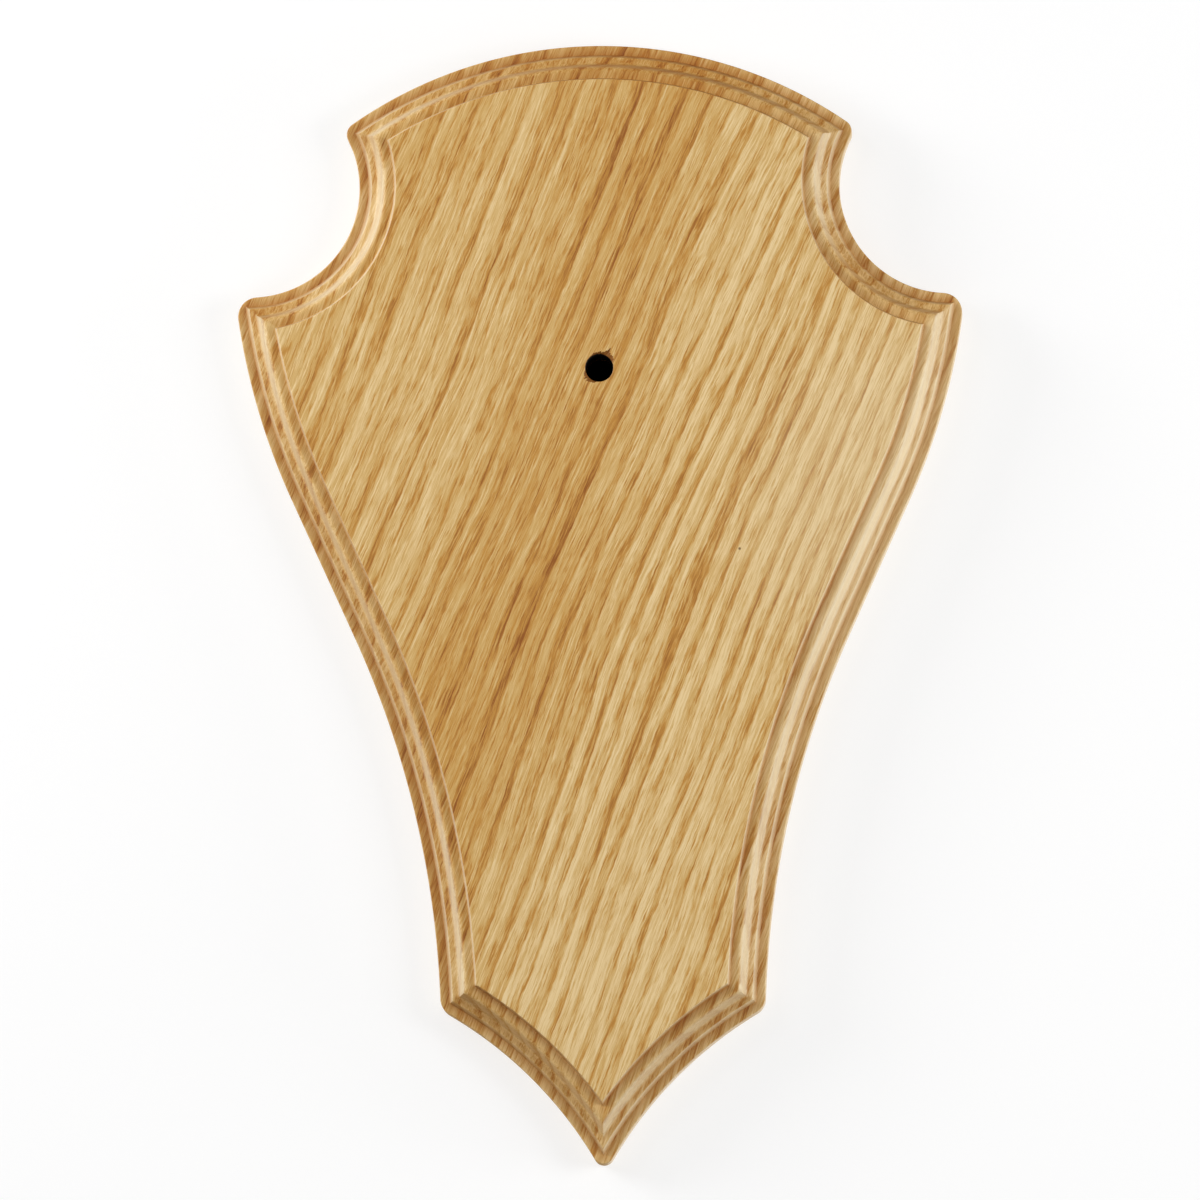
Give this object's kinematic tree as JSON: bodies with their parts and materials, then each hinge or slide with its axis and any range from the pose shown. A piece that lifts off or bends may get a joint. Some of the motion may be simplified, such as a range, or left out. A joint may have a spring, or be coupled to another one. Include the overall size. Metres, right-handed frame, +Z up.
{
  "type": "antler mounting plaque",
  "caption": "Shield-shaped oak board with a moulded edge and a screw hole, hung on a wall to carry antlers.",
  "frame": {"origin": "on the flat back, halfway up and halfway across the board, where it lies against the wall", "axes": "+Z up the board as it hangs, +Y out of the back into the wall, +X to the right as seen from the front"},
  "size_m": [0.155, 0.016, 0.2398],
  "materials": {
    "oak": "planed and sanded oak under a thin clear satin finish, grain slanting across the board"
  },
  "bodies": {
    "root": {"plaque": "oak"}
  },
  "joints": []
}
